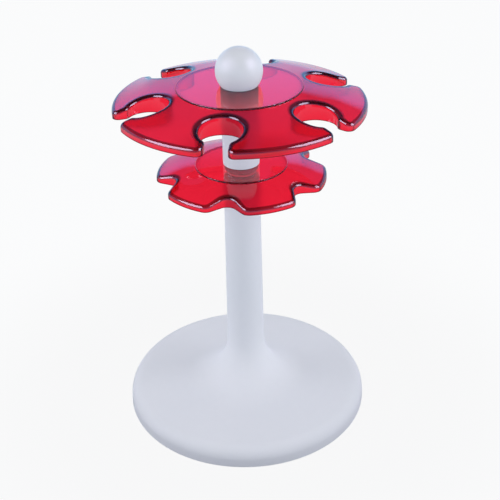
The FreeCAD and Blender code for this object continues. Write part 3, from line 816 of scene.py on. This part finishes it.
@dataclass
class NotchedPlate:
    """Clear umbrella-shaped plate: raised disc, sloping ring and a skirt along rim and notches."""

    material: bpy.types.Material
    node: str
    kind: NotchKind
    disc_radius: float
    edge_radius: float
    notch_edge_radius: float
    tip_radius: float
    root_radius: float
    pocket_centre: float = 79.3 * MM
    pocket_radius: float = 17.4 * MM
    throat_half_width: float = 9.6 * MM
    apex_radius: float = 56.8 * MM
    body: str = "carousel"
    slot: str = "red_clear"
    notches: int = 6
    step: float = 1.2 * MM
    disc_thickness: float = 3.0 * MM
    disc_edge: float = 0.4 * MM
    slope: float = 8.0
    rim_slope: float = 16.0
    crown_radius: float = 120.0 * MM
    wall: float = 2.6 * MM
    inner_rounding: float = 1.0 * MM
    # Band widths and row shares of the painted shade along the edges; along the rim it is paler by the rim's
    # paleness.
    notch_band: float = 6.0 * MM
    rim_band: float = 3.4 * MM
    rim_paleness: float = 0.1
    least_strip: float = 0.5 * MM
    edge_rise: Tuple[float, ...] = (0.0, 0.6)
    edge_fade: Tuple[float, ...] = (1.0, 0.9, 0.6, 0.25, 0.0)
    inner_step: float = 1.5 * MM
    hub_radius: float = 9.1 * MM
    foot_rounding: float = 0.35 * MM
    tip_spans: int = 14
    rounding_rows: int = 9
    foot_rows: int = 5
    arc_share: float = 0.35
    disc_steps: int = 4
    longest: float = 6 * MM

    def __post_init__(self) -> None:
        """Take the plate's reach from its CAD node."""
        low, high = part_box(self.node)
        self.bottom = low.z
        self.top = high.z
        self.rim_radius = high.x
        self.half_pitch = math.pi / self.notches

    def border(self, notch: Sequence[Stretch], tip: Sequence[float], start: float, rim_spans: int) -> Border:
        """Join a notch's stretches, each from where the last one ended, with the tip's arc and the rim.

        Args:
            notch: points and inward normals of each stretch, from the notch's bottom to the tip's arc.
            tip: centre of the tip's arc.
            start: angle at which that arc starts.
            rim_spans: spans of the rim up to the middle between two notches.

        Returns:
            The joined border.
        """
        bearing = math.atan2(tip[1], tip[0])
        finger = round_stretch(tip, self.tip_radius, start, bearing, self.tip_spans, -1.0)
        rim = round_stretch((0.0, 0.0), self.rim_radius, bearing, self.half_pitch, rim_spans, -1.0)
        points, normals = [np.concatenate([parts[0][:1]] + [part[1:] for part in parts])
                           for parts in zip(*notch, finger, rim)]
        return Border(points, normals, len(points) - 1 - rim_spans)

    def keyhole(self) -> Border:
        """Pocket arc, rounded root, throat flank, rounded tip and rim.

        The root's arc touches the pocket's circle and the flank; the tip's arc touches the flank and
        the rim's circle.

        Returns:
            The border from the pocket's bottom to the middle of the rim between two notches.
        """
        pocket_spans, root_spans, flank_points, rim_spans = 36, 10, 5, 20
        reach = self.pocket_radius + self.root_radius
        side = self.throat_half_width + self.root_radius
        root = (self.pocket_centre + math.sqrt(reach ** 2 - side ** 2), side)
        turn = math.pi - math.asin(side / reach)
        pocket = round_stretch((self.pocket_centre, 0.0), self.pocket_radius, math.pi, math.pi - turn,
                               pocket_spans, 1.0)
        corner = round_stretch(root, self.root_radius, -turn, -math.pi / 2, root_spans, -1.0)
        tip_side = self.throat_half_width + self.tip_radius
        tip = (math.sqrt((self.rim_radius - self.tip_radius) ** 2 - tip_side ** 2), tip_side)
        along = np.linspace(root[0], tip[0], flank_points)
        flank = (np.stack([along, np.full(flank_points, self.throat_half_width)], 1),
                 np.tile([0.0, 1.0], (flank_points, 1)))
        return self.border([pocket, corner, flank], tip, -math.pi / 2, rim_spans)

    def vee(self) -> Border:
        """Rounded root, straight flank, rounded tip and rim.

        The flanks stand at 45 degrees, touch the root's arc, and would meet at the apex radius.

        Returns:
            The border from the notch's root to the middle of the rim between two notches.
        """
        root_spans, flank_points, rim_spans = 12, 9, 14
        diagonal = math.sqrt(0.5)
        centre = (self.apex_radius + self.root_radius / diagonal, 0.0)
        root = round_stretch(centre, self.root_radius, math.pi, 0.75 * math.pi, root_spans, 1.0)
        start = np.array([self.apex_radius - self.tip_radius * diagonal, self.tip_radius * diagonal])
        along = float(start.sum() * diagonal)
        reach = (self.rim_radius - self.tip_radius) ** 2
        tip = start + diagonal * (math.sqrt(along ** 2 - float(start @ start) + reach) - along)
        share = np.linspace(0, 1, flank_points)[:, None]
        foot = tip + self.tip_radius * np.array([diagonal, -diagonal])
        flank = (root[0][-1] * (1 - share) + foot * share, np.tile([-diagonal, diagonal], (flank_points, 1)))
        return self.border([root, flank], tip, -math.pi / 4, rim_spans)

    def ring_height(self, place: np.ndarray, drop: float = 0.0) -> np.ndarray:
        """Height of the ring: two slopes that meet half-way out, joined by an arc that touches both.

        Args:
            place: array (..., 2) in plan.
            drop: distance below the upper face.

        Returns:
            Heights (...).
        """
        radius = np.linalg.norm(place, axis=-1)
        inner = math.radians(self.slope)
        outer = math.radians(self.rim_slope)
        crown = (self.disc_radius + self.rim_radius) / 2
        level = self.top - self.step - drop - (crown - self.disc_radius) * math.tan(inner)
        bend = self.crown_radius - min(drop, self.wall)
        reach = bend * math.tan((outer - inner) / 2)
        centre_radius = crown - reach * math.cos(inner) - bend * math.sin(inner)
        centre_level = level + reach * math.sin(inner) - bend * math.cos(inner)
        arc = centre_level + np.sqrt(np.maximum(bend ** 2 - (radius - centre_radius) ** 2, 0.0))
        near = level + (crown - radius) * math.tan(inner)
        far = level + (crown - radius) * math.tan(outer)
        return np.where(radius < crown - reach * math.cos(inner), near,
                        np.where(radius > crown + reach * math.cos(outer), far, arc))

    def rim_share(self, border: Border) -> np.ndarray:
        """Share of the rim's section along the border: 0 along a notch, 1 along the rim, smooth at the tips.

        It is a smooth step of the radius, which starts two tip radii inside the rim and takes 1.6.

        Args:
            border: the plate's border.

        Returns:
            Array (columns).
        """
        reach = np.linalg.norm(border.points, axis=1)
        share = np.clip((reach - self.rim_radius + 2 * self.tip_radius) / (1.6 * self.tip_radius), 0, 1)
        return share ** 2 * (3 - 2 * share)

    def section(self, border: Border) -> Stretch:
        """Wall section along the border, from the underside of the ring round the skirt to its top.

        Each rounding is a circle that touches the upright wall and the ring's line, whose rise into
        the material is taken over a short way along the border's normal. A strip of the ring's top
        follows, as wide as the band of painted shade along the edge.

        Args:
            border: the plate's border.

        Returns:
            Insets and heights, arrays (rows, columns).
        """
        points, normals = border.points, border.normals
        height = self.ring_height(points)
        tilt = np.arctan((self.ring_height(points + normals * MM) - height) / MM)
        under = height - self.wall / math.cos(math.radians(self.slope))
        turned = np.linspace(0, 1, self.rounding_rows)[:, None]
        rim_share = self.rim_share(border)
        edge = self.notch_edge_radius + (self.edge_radius - self.notch_edge_radius) * rim_share
        band = self.notch_band + (self.rim_band - self.notch_band) * rim_share

        def rounding(radius: Mask, start: float, level: np.ndarray) -> Stretch:
            """Circle that touches the wall at inset start and the line through (0, level).

            Args:
                radius: radius of the circle.
                start: inset of the wall's face.
                level: height of the ring's line at the border.

            Returns:
                Insets and heights, arrays (rows, columns).
            """
            turn = turned * (np.pi / 2 - tilt)
            centre = start + radius
            rise = level + centre * np.tan(tilt) - radius / np.cos(tilt)
            return centre - radius * np.cos(turn), rise + radius * np.sin(turn)

        top_inset, top_height = rounding(edge, 0.0, height)
        inner_inset, inner_height = rounding(self.inner_rounding, self.wall, under)
        ones = np.ones_like(height)[None]
        centre = (self.foot_rounding, self.foot_rounding)
        foot = arc_points(centre, self.foot_rounding, 1.5 * math.pi, math.pi, self.foot_rows)
        start = top_inset[-1]
        width = np.maximum(band, start + self.least_strip) - start
        strip = start + np.linspace(0, 1, len(self.edge_fade) + 1)[1:, None] * width
        strip_height = self.ring_height(points + strip[..., None] * normals)
        inset = [inner_inset[::-1], np.outer(self.wall - foot[::-1, 0], ones), np.outer(foot[:, 0], ones),
                 top_inset, strip]
        level = [inner_height[::-1], np.outer(self.bottom + foot[::-1, 1], ones),
                 np.outer(self.bottom + foot[:, 1], ones), top_height, strip_height]
        return np.concatenate(inset), np.concatenate(level)

    def ring_patch(self, edge: np.ndarray, inner_radius: float, split: int, rim_start: int) -> np.ndarray:
        """Plan of the sloping ring beside half a notch, as a patch between four curves.

        The notch's edge lies opposite the disc's arc and the line between two notches; the short
        straight line at the notch's root lies opposite the rim. Inner points blend linearly between
        opposite curves, less the blend of the four corners.

        Args:
            edge: array (n, 2), the ring's edge along the border.
            inner_radius: radius of the disc's side.
            split: number of spans on the disc's arc.
            rim_start: index of the rim's first point.

        Returns:
            Array (rim spans + 1, notch spans + 1, 2).
        """
        near = edge[:rim_start + 1]
        rim = edge[rim_start:]
        arc = arc_points((0.0, 0.0), inner_radius, 0.0, self.half_pitch, split + 1)
        share = np.linspace(0, 1, rim_start - split + 1)[1:, None]
        far = np.concatenate([arc, arc[-1] * (1 - share) + rim[-1] * share])
        u = np.linspace(0, 1, len(near))[None, :, None]
        v = np.linspace(0, 1, len(rim))[:, None, None]
        first = near[0] * (1 - v) + far[0] * v
        corners = ((1 - u) * (1 - v) * near[0] + u * (1 - v) * near[-1]
                   + (1 - u) * v * far[0] + u * v * far[-1])
        return (1 - v) * near + v * far + (1 - u) * first + u * rim[:, None] - corners

    def add_everywhere(self, skin: Skin, plan: np.ndarray, height: np.ndarray,
                       frost: Mask = 0.0, painted_shade: Mask = 0.0) -> None:
        """Add a patch, its mirror image and their copies round the plate.

        Args:
            skin: the mesh under construction.
            plan: array (rows, columns, 2) in the notch's axes.
            height: array (rows, columns).
            frost: share of matt finish, one number, one for each row or one for each point.
            painted_shade: share of painted shade, likewise.
        """
        front = -math.pi / 2
        for index in range(self.notches):
            angle = front + 2 * self.half_pitch * index
            ahead = np.array([math.cos(angle), math.sin(angle)])
            across = np.array([-ahead[1], ahead[0]])
            for side in (1.0, -1.0):
                place = plan[..., :1] * ahead + side * plan[..., 1:] * across
                skin.add_grid(np.concatenate([place, height[..., None]], -1), frost, painted_shade)

    def build(self) -> None:
        """Skirt, both faces of the ring and the disc, as one closed shell.

        The skirt's inside, the ring's underside and the disc's sides are matt. Painted shade rises
        at the start of the outer rounding and fades out over the strip beside it.
        """
        border = self.keyhole() if self.kind is NotchKind.KEYHOLE else self.vee()
        inset, level = self.section(border)
        plan = border.points + inset[..., None] * border.normals
        under = self.wall / math.cos(math.radians(self.slope))
        level[0] = self.ring_height(plan[0], under)
        inner_rows = self.rounding_rows + self.foot_rows
        frost = (np.arange(len(level)) < inner_rows - 1).astype(float)
        # Painted shade by row, paler along the rim.
        painted_edge_shade = np.concatenate([np.zeros(inner_rows + self.foot_rows), self.edge_rise,
                               np.ones(self.rounding_rows - len(self.edge_rise)), self.edge_fade])
        painted_shade = np.outer(painted_edge_shade, 1.0 - self.rim_paleness * self.rim_share(border))
        skin = Skin()
        self.add_everywhere(skin, plan, level, frost, painted_shade)
        split = max(4, round(self.arc_share * border.rim_start))
        upper = self.ring_patch(plan[-1], self.disc_radius, split, border.rim_start)
        self.add_everywhere(skin, upper, self.ring_height(upper))
        inner_radius = self.disc_radius - self.inner_step
        lower = self.ring_patch(plan[0], inner_radius, split, border.rim_start)
        self.add_everywhere(skin, lower, self.ring_height(lower, under), 1.0)
        foot = self.ring_height(np.array([self.disc_radius, 0.0]))
        roof = self.ring_height(np.array([inner_radius, 0.0]), under)
        disc_bottom = self.top - self.disc_thickness
        corners = [(self.disc_radius, float(foot), 0.0), (self.disc_radius, self.top, self.disc_edge),
                   (self.disc_radius - 2 * self.disc_edge, self.top, 0.0), (self.hub_radius, self.top, 0.0),
                   (self.hub_radius, disc_bottom, 0.0), (inner_radius, disc_bottom, 0.0),
                   (inner_radius, float(roof), 0.0)]
        profile = stretched(rounded_profile(corners, self.disc_steps), self.longest)
        angle = np.linspace(0, self.half_pitch, split + 1)
        turned = profile[:, :1, None] * np.stack([np.cos(angle), np.sin(angle)], -1)
        to_wall = np.minimum(np.abs(profile[:, 0] - inner_radius), self.disc_radius - profile[:, 0])
        self.add_everywhere(skin, turned, np.repeat(profile[:, 1:], split + 1, axis=1),
                            (to_wall < 1.1 * self.disc_edge).astype(float))
        settle(skin.build(self.node + "_skin"), self.node, self.body, self.material)


# -------------------- studio
@dataclass
class Studio:
    """Plain pale floor, soft light and the camera.

    Fades are (start, end) pairs: distances from the axis on the floor, heights on the world's unit
    sphere. Boxes are (bearing, rise) pairs in degrees.
    """

    floor_radius: float = 6.0
    floor_sides: int = 96
    floor_colour: Colour = (0.64, 0.73, 0.81)
    fibre_colour: Colour = (0.68, 0.76, 0.83)
    floor_white: float = 0.93
    # Painted shadow: dark paper around the stand, and where it fades to the plain paper.
    shade_patch_colour: Colour = (0.05, 0.08, 0.17)
    shade_patch_fade: Fade = (0.16, 0.40)
    near_gloss: Colour = (0.16, 0.16, 0.20)
    far_gloss: Colour = (0.66, 0.92, 1.17)
    gloss_fade: Fade = (0.35, 1.20)
    zenith_colour: Colour = (0.36, 0.39, 0.45)
    dome_colour: Colour = (0.93, 0.93, 0.95)
    dome_fade: Fade = (0.2, 1.0)
    backdrop_fade: Fade = (0.75, 0.35)
    wall_strength: float = 1.6
    wall_stops: Tuple[Tuple[float, Colour], ...] = (
        (0.0, (0.27, 0.62, 0.92)), (0.2, (0.15, 0.48, 0.95)), (0.34, (0.06, 0.43, 1.12)),
        (0.38, (0.04, 0.32, 0.88)), (0.42, (0.03, 0.045, 0.14)), (0.75, (0.03, 0.06, 0.16)),
        (1.0, (0.01, 0.01, 0.02)))
    box_colour: Colour = (0.82, 0.72, 1.00)
    box_strength: float = 15.0
    boxes: Tuple[Tuple[float, float], ...] = ((-60.0, 31.0), (85.0, 32.0))
    box_reach: float = 19.0
    box_blur: float = 6.0
    lamps: Tuple[Tuple[str, Place, float], ...] = (
        ("left_box", (-1.6, -0.5, 0.9), 7.0), ("right_box", (1.6, -0.2, 0.9), 7.5))
    lamp_size: float = 1.2
    lamp_aim: Place = (0.0, 0.0, 0.15)
    camera_distance: float = 0.74498
    camera_height: float = 0.59510
    azimuth: float = 11.0
    heading: float = 0.451
    pitch: float = 30.275
    roll: float = -1.282
    lens: float = 67.576
    sensor: float = 36.0

    def build_camera(self) -> None:
        """Camera on the stand's front right, looking down; heading, pitch and roll turn its axes."""
        bearing = math.radians(self.azimuth)
        heading = math.radians(self.heading) - bearing
        pitch = math.radians(self.pitch)
        roll = math.radians(self.roll)
        place = Vector((math.sin(bearing) * self.camera_distance, -math.cos(bearing) * self.camera_distance,
                        self.camera_height))
        ahead = Vector((math.sin(heading) * math.cos(pitch), math.cos(heading) * math.cos(pitch),
                        -math.sin(pitch)))
        right = Vector((math.cos(heading), -math.sin(heading), 0.0))
        up = right.cross(ahead)
        side = right * math.cos(roll) + up * math.sin(roll)
        top = up * math.cos(roll) - right * math.sin(roll)
        data = bpy.data.cameras.new("camera")
        data.lens = self.lens
        data.sensor_width = self.sensor
        camera = bpy.data.objects.new("camera", data)
        camera.matrix_world = Matrix((
            (side.x, top.x, -ahead.x, place.x), (side.y, top.y, -ahead.y, place.y),
            (side.z, top.z, -ahead.z, place.z), (0.0, 0.0, 0.0, 1.0)))
        bpy.context.scene.collection.objects.link(camera)
        bpy.context.scene.camera = camera

    def build_floor(self) -> None:
        """Round floor that shows white and keeps a faint shadow.

        Mirrored rays see it dark near the stand and pale blue far out. Soft light meets a painted
        shadow around the stand: dark paper that throws little light back up.
        """
        angle = np.linspace(0, 2 * np.pi, self.floor_sides, endpoint=False)
        ring = np.stack([np.cos(angle), np.sin(angle), np.zeros_like(angle)], 1) * self.floor_radius
        mesh = bpy.data.meshes.new("floor")
        mesh.from_pydata(ring.tolist(), [], [list(range(self.floor_sides))])
        floor = bpy.data.objects.new("floor", mesh)
        bpy.context.scene.collection.objects.link(floor)
        material, graph = new_material("floor_paper")
        distance = graph.axis_distance()
        fibres = graph.blend(graph.noise(3.0) * 0.3, self.floor_colour, self.fibre_colour)
        # The paper near the stand is painted dark: a painted shadow.
        paper = graph.add("ShaderNodeBsdfDiffuse", None, {
            "Color": graph.blend(distance.step(*self.shade_patch_fade), self.shade_patch_colour, fibres)})
        through = graph.on_ray("Transmission")
        mirrored = graph.on_ray("Glossy")
        gloss = graph.blend(distance.step(*self.gloss_fade), self.near_gloss, self.far_gloss)
        shine = graph.add("ShaderNodeEmission", None, {
            "Color": graph.blend((mirrored - through).clamped(), (1.0, 1.0, 1.0), gloss)})
        seen = (graph.on_ray("Camera") + through + mirrored).clamped()
        graph.finish(graph.mixed(seen * self.floor_white, paper, shine))
        dress(floor, material)

    def build_world(self) -> None:
        """White behind and an even dome for soft light.

        Gloss and clear plastic meet a blue wall under a dark ceiling, and gloss meets soft boxes too.
        """
        world = bpy.data.worlds.new("studio")
        bpy.context.scene.world = world
        world.use_nodes = True
        graph = Graph(world.node_tree)
        direction = graph.add("ShaderNodeTexCoord", output="Generated")
        height = graph.add("ShaderNodeSeparateXYZ", None, {0: direction}, "Z")
        glossy_ray = graph.on_ray("Glossy")
        through_ray = graph.on_ray("Transmission")
        dome = graph.add("ShaderNodeBackground", None, {
            "Color": graph.blend(height.step(*self.dome_fade), self.dome_colour, self.zenith_colour)})
        wall = graph.add("ShaderNodeValToRGB", {"stops": self.wall_stops}, {0: height})
        mirrored = graph.add("ShaderNodeBackground", None, {"Color": wall, "Strength": self.wall_strength})
        for bearing, rise in self.boxes:
            flat = math.cos(math.radians(rise))
            aim = (math.sin(math.radians(bearing)) * flat, -math.cos(math.radians(bearing)) * flat,
                   math.sin(math.radians(rise)))
            nearness = graph.add("ShaderNodeVectorMath", {"operation": "DOT_PRODUCT"}, {
                0: direction, 1: aim}, "Value")
            box = graph.add("ShaderNodeBackground", None, {
                "Color": (*self.box_colour, 1.0), "Strength": self.box_strength})
            share = nearness.step(math.cos(math.radians(self.box_reach + self.box_blur)),
                                  math.cos(math.radians(self.box_reach)))
            mirrored = graph.mixed(share * (glossy_ray - through_ray).clamped(), mirrored, box)
        white = graph.add("ShaderNodeBackground", None, {"Color": (1.0, 1.0, 1.0, 1.0)})
        backdrop = (graph.on_ray("Camera") + through_ray * height.step(*self.backdrop_fade)).clamped()
        inner = graph.mixed((glossy_ray + through_ray).clamped(), dome, mirrored)
        graph.finish(graph.mixed(backdrop, inner, white), "ShaderNodeOutputWorld")

    def add_lamp(self, name: str, place: Place, power: float) -> None:
        """Square soft white light aimed at the middle of the stand.

        Args:
            name: its name.
            place: its position.
            power: radiant power in watts.
        """
        data = bpy.data.lights.new(name, "AREA")
        data.shape = "SQUARE"
        data.size = self.lamp_size
        data.energy = power
        lamp = bpy.data.objects.new(name, data)
        lamp.visible_glossy = False
        lamp.visible_transmission = False
        lamp.location = place
        aim = Vector(self.lamp_aim) - Vector(place)
        lamp.rotation_euler = aim.to_track_quat("-Z", "Y").to_euler()
        bpy.context.scene.collection.objects.link(lamp)

    def build(self) -> None:
        """Everything around the stand."""
        self.build_camera()
        self.build_floor()
        self.build_world()
        for name, place, power in self.lamps:
            self.add_lamp(name, place, power)
        bpy.context.scene.view_settings.view_transform = "Standard"


# -------------------- the whole stand
def finishes() -> Dict[str, bpy.types.Material]:
    """Every finish by the record's slot name."""
    made = [
        MouldedPlastic("white_shell", (0.85, 0.865, 0.905), (0.82, 0.84, 0.885), 0.68, specular=0.15),
        # The tube's finish carries a colour of painted shade for its top.
        MouldedPlastic("white_tube", (0.82, 0.835, 0.88), (0.79, 0.81, 0.86), 0.5, specular=0.2,
                       shade_paint=(0.03, 0.03, 0.16)),
        MouldedPlastic("white_knob", (0.82, 0.83, 0.86), (0.79, 0.805, 0.85), 0.36, grain_height=2e-6,
                       specular=0.22),
        # Its edge colour is painted shade, near black, for the plates' edges.
        ClearPlastic("red_clear", (0.915, 0.015, 0.042), (0.925, 0.020, 0.050),
                     painted_edge_shade=(0.022, 0.004, 0.003), veil=(0.96, 0.90, 0.93), shadow=(0.6, 0.35, 0.42)),
        MouldedPlastic("dark_plastic", (0.045, 0.045, 0.05), (0.06, 0.06, 0.065), 0.55, 5000.0, 1e-5),
        MouldedRubber("rubber"),
        CastMetal("cast_iron"),
        TurnedMetal("steel", (0.62, 0.63, 0.65), (0.48, 0.48, 0.49), 0.3),
        TurnedMetal("bearing_steel", (0.72, 0.72, 0.74), (0.6, 0.6, 0.61), 0.16, Lay.FACED),
        TurnedMetal("aluminium", (0.78, 0.79, 0.80), (0.66, 0.67, 0.68), 0.26, Lay.FACED),
        TurnedMetal("bronze", (0.62, 0.42, 0.22), (0.42, 0.27, 0.14), 0.4, Lay.FACED),
        TurnedMetal("brass", (0.80, 0.62, 0.28), (0.62, 0.45, 0.2), 0.25),
        MouldedPlastic("nylon", (0.80, 0.78, 0.70), (0.74, 0.71, 0.62), 0.5),
    ]
    return {finish.name: finish.build() for finish in made}


def main() -> None:
    """Build the stand's visible pieces, dress the rest and set up the studio."""
    logging.basicConfig(level=logging.INFO, format="%(name)s %(message)s")
    materials = finishes()
    for entry in frame["record"]["subparts"]:
        dress_node(entry["node"], materials[entry["material_slot"]])
    Pedestal(materials["white_shell"]).build()
    SpacerTube(materials["white_tube"]).build()
    BallKnob(materials["white_knob"]).build()
    NotchedPlate(materials["red_clear"], "upper_plate", NotchKind.KEYHOLE, disc_radius=53.6 * MM,
                 edge_radius=3.6 * MM, notch_edge_radius=2.8 * MM, tip_radius=5.6 * MM,
                 root_radius=5.4 * MM).build()
    NotchedPlate(materials["red_clear"], "lower_plate", NotchKind.VEE, disc_radius=40.4 * MM,
                 edge_radius=3.2 * MM, notch_edge_radius=2.8 * MM, tip_radius=8.0 * MM,
                 root_radius=8.2 * MM).build()
    Studio().build()


if __name__ == "__main__":
    main()
